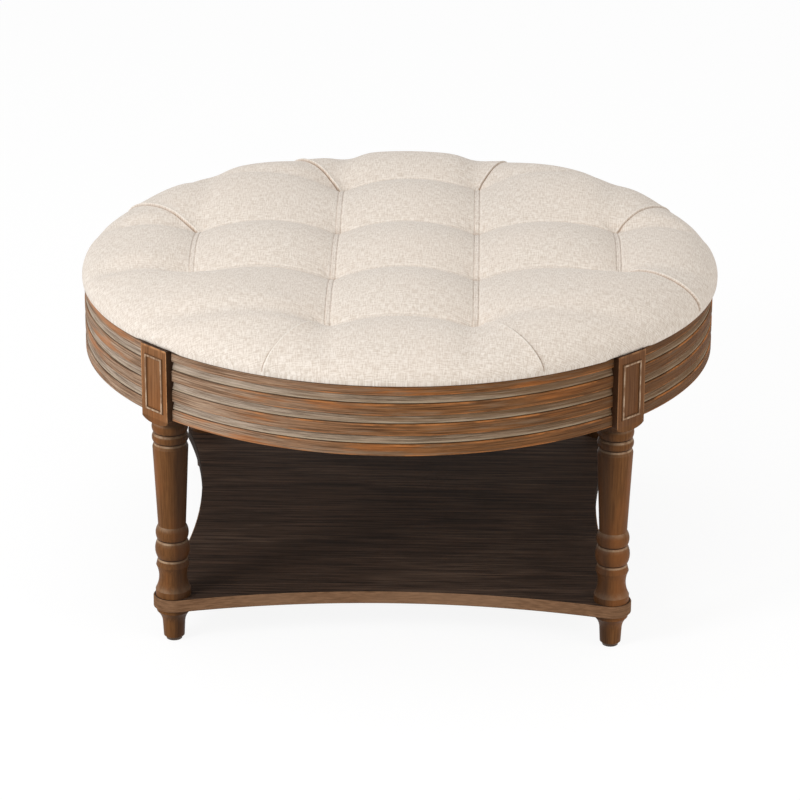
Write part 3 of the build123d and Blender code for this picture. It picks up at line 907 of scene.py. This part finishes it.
def closed_tube(path, sizes, sides, swell=0.0, pitch=1.0):
    """Tube along a rising path; two swellings wind round it as the plies of a twine."""
    steps = np.concatenate([[0], np.cumsum(np.linalg.norm(np.diff(path, axis=0), axis=1))])
    angle = 2 * np.pi * np.arange(sides) / sides
    lobes = 1 + swell * np.cos(2 * (angle[None] - 2 * np.pi * steps[:, None] / pitch))
    radius = np.asarray(sizes)[:, None] * lobes
    ring = np.stack([radius * np.cos(angle), radius * np.sin(angle), np.zeros_like(radius)], axis=-1)
    return lofted(path[:, None] + ring, path[0], path[-1])


def tie_path(hole, dimple, top):
    """From the toggle straight up through the board's hole, then over to the dimple above."""
    lower = np.linspace(apron_top - 0.4 * mm, board_top, 30)
    share = np.linspace(0, 1, 24)[1:, None]
    bend = np.column_stack([hole + (dimple - hole) * share, board_top + (top - board_top) * share])
    return np.concatenate([np.column_stack([np.tile(hole, (len(lower), 1)), lower]), bend])


def toggle_profile():
    """Heights and radii of a round toggle with softened edges."""
    turn = np.linspace(0, np.pi / 2, 6)
    radii = toggle_radius - toggle_round * (1 - np.sin(turn))
    rise = toggle_round * (1 - np.cos(turn))
    low, high = apron_top - toggle_thickness, apron_top
    return np.concatenate([low + rise, high - rise[::-1]]), np.concatenate([radii, radii[::-1]])


def tuft_ties():
    """All twines and toggles as one set of vertices, quads and triangles."""
    parts, total = [], 0
    toggle_heights, toggle_radii = toggle_profile()
    for hole, dimple, depth in zip(grid_ties, ties, tie_depth):
        path = tie_path(hole, dimple, seat_height - depth - twine_end)
        axis = np.column_stack([np.tile(hole, (len(toggle_heights), 1)), toggle_heights])
        twine_skin = closed_tube(path, np.full(len(path), twine_radius), 16, ply_swell, ply_pitch)
        for vertices, quads, caps in (twine_skin, closed_tube(axis, toggle_radii, 40)):
            parts.append((vertices, quads + total, caps + total))
            total += len(vertices)
    return [np.concatenate(columns) for columns in zip(*parts)]


twine = surface_object("tuft_twines", *tuft_ties())
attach(twine, "root")
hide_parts("tuft_ties")
print("ties:", len(twine.data.vertices), "points")

# %% Dust cloth
dust_radius = 370 * mm
dust_level = 439.9 * mm
dust_thickness = 0.5 * mm
dust_gap = 0.1 * mm
dust_sag = 0.3 * mm
hem_radius = 358 * mm
hem_start = 332 * mm
hem_pucker = 0.25 * mm
hem_puckers = 36


def dust_height(radius, angle):
    """Underside of the black cloth: level below the toggles, then up to the board, puckered at the hem."""
    rise = smooth((radius - hem_start) / (hem_radius - hem_start))
    pucker = hem_pucker * np.sin(hem_puckers * angle) * 4 * rise * (1 - rise)
    sag = -dust_sag * np.clip(1 - (radius / hem_start) ** 2, 0, 1)
    return dust_level + sag + pucker + (apron_top - dust_thickness - dust_gap - dust_level) * rise


def dust_cloth():
    """Closed thin disc: rings of its underside from the middle out, then of its upper side back."""
    radii = np.concatenate([np.linspace(0, hem_start, 40)[1:], np.linspace(hem_start, dust_radius, 28)[1:]])
    radius, turn = np.meshgrid(radii, 2 * np.pi * np.arange(288) / 288, indexing="ij")
    lower = np.stack([radius * np.cos(turn), radius * np.sin(turn), dust_height(radius, turn)], axis=-1)
    thickness = np.array([0, 0, dust_thickness])
    centre = np.array([0, 0, dust_height(0.0, 0.0)])
    return lofted(np.concatenate([lower, lower[::-1] + thickness]), centre, centre + thickness)


dust = surface_object("black_cloth", *dust_cloth())
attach(dust, "root")
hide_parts("dust_cloth")
print("dust cloth:", len(dust.data.vertices), "points")

# %% [markdown]
# ## Linen
# Plain weave of uneven yarn. Thick and thin stretches of yarn, called slubs,
# show as short streaks along both directions of the weave. The pattern reads
# the flat plan of the cloth, so it bends with the cloth and never stretches.


# %% Linen finish
def linen_finish():
    """Cream cloth: slub streaks along warp and weft, a fine weave, soft sheen, painted shade in creases and
    painted highlights beside them.
    """
    material, _, _ = new_material("linen")
    tree = material.node_tree
    flat = add_node(tree, "UVMap", uv_map="cloth")[0]
    painted_light = add_node(tree, "Attribute", attribute_name="painted_light")["Fac"]
    warp = noise(flat, (640, 85, 1), 2.0, 0.65)
    weft = noise(flat, (85, 640, 1), 2.0, 0.65)
    slubs = sums("ADD", warp, weft)
    body = coated(
        two_tone(slubs, 0.76, 1.24, (208, 195, 181), (243, 235, 225)),
        (times(noise(flat, (9, 9, 9), 3.0, 0.55), 0.3), (233, 215, 200)),
        # The last two coats are painted light: painted shade in creases, pits and grooves, and a painted
        # highlight on the edges beside them
        (times(sums("MAXIMUM", painted_light, 0.0), 0.6), (156, 118, 84)),
        (times(sums("MINIMUM", painted_light, 0.0), -0.6), (252, 246, 236)),
    )
    wire(0.15, tree.nodes["surface"].inputs["Sheen Weight"])
    wire(0.6, tree.nodes["surface"].inputs["Sheen Roughness"])
    return complete(material, body, 0.92, 0.2, slubs, 0.6 * mm, 0.5)


dress(cover, linen_finish())
print("linen on", cover.name)

# %% [markdown]
# ## Timber
# The wood is stained fir and hardwood with a weathered finish. The grain runs
# round the apron, so its pattern reads the angle about the table's axis as one
# coordinate. The arrises are rubbed back to an orange undercoat, and a pale
# wash is left lying in the grooves. Reeds and bands are paler on the left, under
# a grey wash, and darker on the right, where painted shade is laid over them, so
# their coats also read the place along X.

# %% Timber coordinates
reed_height = 16.4 * mm
reed_pitch = (apron_height - reed_height) / 3
kerf_height = 1.4 * mm
lip_height = 1.6 * mm


def from_axis(x, y):
    """Distance from the table's axis: the root of the sum of both squares."""
    return sums("SQRT", sums("ADD", times(x, x), times(y, y)))


def round_coordinates(place):
    """Length round the apron, height and distance from the axis as a vector; then X, height and distance."""
    x, y, z = split(place)
    out = from_axis(x, y)
    around = times(sums("ARCTAN2", y, x), apron_radius)
    return joined(around, z, out), x, z, out


def apron_level(z):
    """Height above the foot of the nearest reed below."""
    return sums("FLOORED_MODULO", minus(z, apron_top - apron_height), reed_pitch)


print(f"reeds {reed_height / mm:.1f} mm high, {reed_pitch / mm:.1f} mm apart")


# %% Reeds and bands
def reed_finish():
    """Brown weathered fir with orange stretches, grey bloom, a pale wash on the left and rubbed arrises, with
    painted shade towards the right and a painted shadow under the cover's roll.
    """
    material, place, _ = new_material("reed_wood")
    flat, x, z, _ = round_coordinates(place)
    fine = noise(flat, (13, 560, 560), 7.0, 0.66)
    patches = noise(flat, (7, 75, 75), 4.0, 0.6)
    bloom = noise(flat, (11, 170, 170), 5.0, 0.65)
    warm = two_tone(fine, 0.3, 0.7, (118, 66, 28), (188, 116, 58))
    washed = two_tone(fine, 0.36, 0.64, (118, 94, 76), (192, 166, 142))
    washed = coated(washed, (span(patches, 0.52, 0.62, 0, 0.6), (186, 122, 76)))
    level = apron_level(z)
    to_arris = sums("MINIMUM", level, minus(reed_height, level))
    rubbed = span(noise(flat, (16, 60, 60), 5.0, 0.65), 0.44, 0.6, 0.1, 0.85)
    rubbed = times(rubbed, span(x, -300 * mm, -120 * mm))
    body = coated(
        two_tone(fine, 0.3, 0.7, (72, 46, 26), (150, 102, 62)),
        (times(span(patches, 0.52, 0.66, 0, 0.7), span(x, 380 * mm, 180 * mm)), warm),
        (span(bloom, 0.5, 0.68, 0, 0.6), (134, 112, 90)),
        (times(span(x, 40 * mm, -290 * mm), span(bloom, 0.35, 0.6, 0.45, 0.85)), washed),
        # Painted shade: the reeds darken towards the right
        (times(span(x, 120 * mm, 330 * mm), 0.45), (78, 54, 36)),
        (times(span(to_arris, 2.4 * mm, 0.9 * mm), rubbed), (192, 124, 70)),
        # Painted shadow of the cover's roll along the top of the upper reed
        (span(z, apron_top - 4.6 * mm, apron_top - 3.2 * mm, 0, 0.8), (34, 24, 16)),
    )
    return complete(material, body, 0.7, 0.12, fine, 1.0 * mm, 0.7)


def band_finish():
    """Grey washed band with a painted highlight on its lip, painted shade in the kerf and under each reed;
    browner and darker on the right, partly painted shade; paler on the left, raw behind.
    """
    material, place, _ = new_material("band_wood")
    flat, x, z, out = round_coordinates(place)
    fine = noise(flat, (16, 640, 640), 8.0, 0.72)
    brown = noise(flat, (8, 90, 90), 4.0, 0.6)
    above_reed = minus(apron_level(z), reed_height)
    next_reed = reed_pitch - reed_height
    lip_highlight = span(above_reed, kerf_height + 2 * lip_height, kerf_height + lip_height)
    shade_under_reed = span(above_reed, next_reed - 1.6 * mm, next_reed - 0.4 * mm)
    browner = blended(fine, (76, 54, 36), (134, 100, 68))
    paler = two_tone(fine, 0.36, 0.64, (136, 118, 102), (206, 190, 174))
    body = coated(
        two_tone(fine, 0.34, 0.66, (86, 69, 52), (172, 150, 127)),
        (span(brown, 0.48, 0.64, 0, 0.6), (128, 98, 68)),
        # Browner and darker towards the right, partly painted shade
        (times(span(x, 20 * mm, 300 * mm), 0.6), browner),
        (times(span(x, 20 * mm, -280 * mm), 0.65), paler),
        # Painted highlight on the band's lip, just above the kerf
        (times(lip_highlight, span(brown, 0.4, 0.6, 0.6, 0.2)), (184, 166, 142)),
        # Painted shade in the kerf at the foot of each band, just above the reed below
        (span(above_reed, 1.25 * kerf_height, kerf_height), (26, 16, 10)),
        # Painted shade at the top of each band, under the reed above it
        (times(shade_under_reed, 0.7), (48, 34, 22)),
        (span(out, 438 * mm, 434 * mm), (186, 152, 110)),
    )
    return complete(material, body, 0.8, 0.12, fine, 1.4 * mm, 0.8)


finishes = {"reed_": reed_finish(), "apron_core": band_finish()}
print("reeds and bands ready")

# %% [markdown]
# The legs were turned, stained brown, and washed with a thin grey paint that
# was wiped off again. It stays where a cloth passes over it, on the shoulders
# of the turned members and just below each groove, so the finish asks how far
# a face looks up. The side turned to the middle of the table, and the sides of
# each block beside the apron, get painted shade almost to black, so it also
# asks how far a face looks outwards. A painted shadow lies just above each groove.

# %% Legs, mouldings and feet
block_half = 26.5 * mm
block_foot = 338 * mm
groove_heights = np.array([313.0, 298.6, 152.4, 124.3]) * mm


def outwards(place, normal):
    """How far a face looks away from the table's axis: 1 outwards, 0 sideways, -1 inwards."""
    x, y, _ = split(place)
    nx, ny, _ = split(normal)
    return sums("DIVIDE", sums("ADD", times(nx, x), times(ny, y)), from_axis(x, y))


def near_levels(z, levels, half):
    """1 at any of several heights, falling to 0 at a half width above and below."""
    nearest = 1.0
    for level in levels:
        nearest = sums("MINIMUM", nearest, size_of(minus(z, float(level))))
    return span(nearest, half, 0.35 * half)


def block_wood(place, grain, patches, washed):
    """Colour of the leg blocks: brown stain, rubbed along the upright arrises and the top edge."""
    x, y, z = split(place)
    across_block = size_of(minus(size_of(x), size_of(y)))
    diagonal = 2**0.5
    to_arris = span(across_block, (block_half - 2.2 * mm) * diagonal, (block_half - 0.8 * mm) * diagonal)
    to_top = span(z, apron_top - 4 * mm, apron_top - 1 * mm)
    return coated(
        two_tone(grain, 0.3, 0.7, (104, 66, 36), (146, 100, 62)),
        (span(patches, 0.46, 0.66, 0, 0.5), (140, 86, 42)),
        (times(sums("MAXIMUM", to_arris, to_top), span(washed, 0.38, 0.6, 0.15, 0.9)), (196, 142, 96)),
    )


def leg_finish():
    """Brown stain with upright grain, grey wash on shoulders, painted shadows above the grooves and painted
    shade on the inner side.
    """
    material, place, normal = new_material("leg_wood")
    x, _, z = split(place)
    grain = noise(place, (420, 420, 12), 6.0, 0.6)
    patches = noise(place, (30, 30, 9), 3.0, 0.5)
    washed = noise(place, (90, 90, 45), 5.0, 0.65)
    shoulder = span(split(normal)[2], 0.2, 0.8)
    wash = sums("MAXIMUM", shoulder, near_levels(z, groove_heights - 1.6 * mm, 1.9 * mm))
    groove_shadows = near_levels(z, groove_heights + 1.1 * mm, 1.4 * mm)
    in_block = span(z, block_foot, block_foot + 2 * mm)
    outward = outwards(place, normal)
    block_side_shade = times(span(outward, 0.5, 0.2, 0, 0.93), in_block)
    body = coated(
        two_tone(grain, 0.3, 0.7, (94, 59, 29), (120, 79, 43)),
        (span(patches, 0.48, 0.66, 0, 0.6), (132, 81, 42)),
        (times(wash, span(washed, 0.3, 0.62, 0.25, 0.9)), (176, 148, 120)),
        # Painted shadow just above each groove, under the member above it
        (times(groove_shadows, 0.85), (22, 12, 6)),
        (in_block, block_wood(place, grain, patches, washed)),
        # Painted shade on the faces turned towards the table's middle, and on the block's sides beside the
        # apron
        (sums("MAXIMUM", span(outward, 1.0, 0.3, 0, 0.7), block_side_shade), (34, 20, 12)),
        # Painted shade: the blocks on the right are darker
        (times(times(span(x, -50 * mm, 100 * mm), in_block), 0.4), (60, 34, 18)),
    )
    return complete(material, body, 0.5, 0.12, grain, 0.4 * mm, 0.4)


def moulding_finish():
    """Pale wash on the narrow bead, with painted shade on the faces that turn sideways into the corners
    beside it.
    """
    material, place, normal = new_material("moulding_wood")
    grain = noise(place, (160, 160, 60), 5.0, 0.6)
    body = two_tone(grain, 0.36, 0.64, (132, 98, 70), (194, 168, 142))
    # Painted shade on the faces of the bead that turn sideways
    body = coated(body, (span(outwards(place, normal), 0.97, 0.7), (98, 68, 44)))
    return complete(material, body, 0.6, 0.15, grain, 0.5 * mm, 0.4)


finishes["leg_"] = finishes["foot_"] = leg_finish()
finishes["block_moulding"] = moulding_finish()
print("legs, feet and mouldings ready")

# %% [markdown]
# The shelf's face is stained almost black, with long streaks where the open
# grain took less stain. Its sawn edge is lighter, so the two are told apart by
# how far a face looks up or down.


# %% Shelf finish
def shelf_finish():
    """Very dark stain with long streaks along X, and a lighter brown edge."""
    material, place, normal = new_material("shelf_wood")
    _, y, _ = split(place)
    grain = noise(place, (9, 420, 420), 8.0, 0.7)
    clouds = noise(place, (5, 13, 13), 3.0, 0.5)
    streaks = two_tone(grain, 0.4, 0.66, (58, 44, 36), (118, 97, 82))
    face = coated(
        two_tone(grain, 0.36, 0.7, (34, 25, 20), (84, 65, 53)),
        (span(noise(place, (5, 85, 85), 5.0, 0.6), 0.5, 0.68, 0, 0.4), (92, 70, 57)),
        (span(clouds, 0.5, 0.66, 0, 0.4), streaks),
        # Painted light: the face is lighter towards its front, where the table's shade is less deep
        (span(y, -280 * mm, -410 * mm, 0, 0.35), streaks),
    )
    edge = coated(
        two_tone(noise(place, (60, 60, 520), 4.0, 0.6), 0.3, 0.7, (106, 77, 55), (138, 104, 77)),
        (span(clouds, 0.45, 0.62, 0, 0.4), (150, 118, 92)),
        # Painted shade: the edges darken towards the back
        (span(y, -60 * mm, 40 * mm, 0, 0.95), (24, 16, 11)),
    )
    level = span(size_of(split(normal)[2]), 0.75, 0.95)
    return complete(material, blended(level, edge, face), 0.75, 0.06, grain, 0.8 * mm, 0.5)


finishes["shelf"] = shelf_finish()
print("shelf ready")

# %% [markdown]
# ## Plain materials inside
# These pieces show only from below or when the table is taken apart: plywood,
# glue blocks of pine, zinc-plated steel, nylon glides, and the soft filling.


# %% Board and braces
def plywood_finish():
    """Birch plywood: pale faces with a faint figure, and dark and light plies on the edge."""
    material, place, normal = new_material("plywood")
    figure = noise(place, (4, 60, 60), 5.0, 0.55)
    plies = sums("SINE", times(split(place)[2], 2 * np.pi / (2.4 * mm)))
    wall = span(size_of(split(normal)[2]), 0.6, 0.3)
    body = two_tone(figure, 0.35, 0.7, (206, 178, 136), (228, 206, 168))
    body = coated(body, (times(wall, span(plies, -0.2, 0.2, 0, 0.6)), (150, 112, 74)))
    return complete(material, body, 0.7, 0.5, figure, 0.4 * mm, 0.3)


def pine_finish():
    """Sawn pine with growth rings as bent stripes."""
    material, place, _ = new_material("brace_wood")
    _, y, z = split(place)
    bent = joined(noise(place, (3, 3, 3), 3.0, 0.5), y, z)
    rings = add_node(material.node_tree, "TexWave", {"Vector": bent, "Scale": 22.0, "Distortion": 2.5})["Fac"]
    body = two_tone(rings, 0.2, 0.8, (196, 158, 108), (222, 192, 146))
    return complete(material, body, 0.75, 0.5, rings, 0.4 * mm, 0.3)


finishes["seat_board"] = plywood_finish()
finishes["corner_brace"] = pine_finish()
print("board and braces ready")


# %% Fittings and filling
def plain_finish(name, pattern, tones, roughness, specular=0.5, distance=0.0, strength=0.0):
    """One pattern that tints a surface, may dull it between two roughnesses, and may stand up from it."""
    material, place, _ = new_material(name)
    mottle = noise(place, *pattern)
    dull = span(mottle, 0.3, 0.7, *roughness) if isinstance(roughness, tuple) else roughness
    height = mottle if distance else None
    return complete(material, two_tone(mottle, *tones), dull, specular, height, distance, strength)


# Each has its pattern as cells, detail and roughness of the noise, and then the ends of its two tones.
# Zinc plating has a cloudy spangle, and moulded nylon is dulled by the floor
zinc = plain_finish(
    "steel", ((420, 420, 420), 3.0, 0.6), (0.35, 0.65, (150, 152, 154), (196, 197, 196)), (0.3, 0.45))
zinc.node_tree.nodes["surface"].inputs["Metallic"].default_value = 1.0
nylon = plain_finish(
    "glide", ((300, 300, 300), 5.0, 0.65), (0.35, 0.7, (58, 44, 34), (88, 72, 58)), (0.4, 0.65))
# The pores of the foam are dark specks, waxed flax has fine upright fibres, and the dust cloth is felted
foamed = plain_finish(
    "foam", ((900, 900, 900), 2.0, 0.5), (0.35, 0.55, (196, 180, 130), (238, 226, 184)),
    0.95, 0.5, 0.8 * mm, 0.6)
flax = plain_finish(
    "twine", ((900, 900, 260), 4.0, 0.6), (0.35, 0.65, (150, 126, 88), (208, 188, 150)), 0.55)
felt = plain_finish(
    "dust_cloth", ((700, 700, 700), 4.0, 0.7), (0.35, 0.65, (22, 22, 23), (46, 46, 48)),
    0.9, 0.1, 0.3 * mm, 0.5)

dress(foam, foamed)
dress(twine, flax)
dress(dust, felt)
finishes["floor_glides"] = nylon
for steel_name in ("leg_bolts", "leg_washers", "leg_nuts", "foot_studs", "seat_screws", "brace_screws"):
    finishes[steel_name] = zinc
print("fittings ready, filling dressed")

# %% [markdown]
# Each node takes the finish whose name begins its own, and the longest such
# name where there are two: leg_bolts are steel although leg_ is wood.

# %% Dress the nodes
dressed = 0
for name, piece in nodes.items():
    longest = max((start for start in finishes if name.startswith(start)), key=len, default=None)
    if longest:
        dress(piece, finishes[longest])
        dressed += 1
print("dressed:", dressed, "nodes")

# %% [markdown]
# ## Studio
# A plain pale floor, a white world and three soft lamps. The floor and the
# world look plain white to the camera and in reflections, and the floor keeps
# a faint shadow.

# %% World and floor
ambient = 0.53
floor_half = 6.0
floor_glow = 1.06
floor_white = 0.85


def seen_directly(tree):
    """1 for camera, mirror and glass rays, and 0 for the rays that carry light."""
    ray = add_node(tree, "LightPath")
    seen = sums("MAXIMUM", ray["Is Camera Ray"], ray["Is Glossy Ray"])
    return sums("MAXIMUM", seen, ray["Is Transmission Ray"])


def studio_world():
    """White where it is seen, and dimmer where it lights."""
    world = bpy.data.worlds.new("studio")
    world.use_nodes = True
    tree = world.node_tree
    tree.nodes.clear()
    strength = sums("MULTIPLY_ADD", seen_directly(tree), 1 - ambient, ambient)
    backdrop = add_node(tree, "Background", {"Color": (1.0, 1.0, 1.0, 1.0), "Strength": strength})[0]
    add_node(tree, "OutputWorld", {"Surface": backdrop})
    return world


def floor_finish():
    """Pale and dull, with most of what the camera sees replaced by an even white glow."""
    material, _, _ = new_material("floor")
    tree = material.node_tree
    complete(material, (0.8, 0.8, 0.8, 1.0), 1.0)
    glow = add_node(tree, "Emission", {"Strength": floor_glow})[0]
    shares = {0: times(seen_directly(tree), floor_white), 1: tree.nodes["surface"].outputs[0], 2: glow}
    wire(add_node(tree, "MixShader", shares)[0], tree.nodes["output"].inputs["Surface"])
    return material


bpy.context.scene.world = studio_world()
floor_points = np.array([(-1, -1, 0), (1, -1, 0), (1, 1, 0), (-1, 1, 0)]) * floor_half
floor = surface_object("floor", floor_points, np.array([[0, 1, 2, 3]]))
dress(floor, floor_finish())
print("world and floor ready")


# %% Lamps
def lamp(name, place, aim, size, power, tint=(1.0, 1.0, 1.0)):
    """A square area lamp that looks from its place to an aim point."""
    made = new_object(name, bpy.data.lights.new(name, "AREA"))
    made.data.size = size
    made.data.energy = power
    made.data.color = tint
    back = np.array(place) - np.array(aim)
    back = back / np.linalg.norm(back)
    right = np.cross([0.0, 0.0, 1.0], back)
    right = right / np.linalg.norm(right)
    turn_to(made, np.stack([right, np.cross(back, right), back], axis=1), place)


lamp("key", (-2.9, -2.4, 2.3), (0, 0, 0.35), 1.3, 83)
lamp("fill", (2.9, -1.9, 1.6), (0, 0, 0.4), 2.0, 29, (1.0, 0.94, 0.86))
lamp("top", (-0.6, 0.2, 3.2), (0, 0, 0.4), 2.0, 11)
bpy.context.scene.view_settings.view_transform = "Standard"
print("three lamps lit")
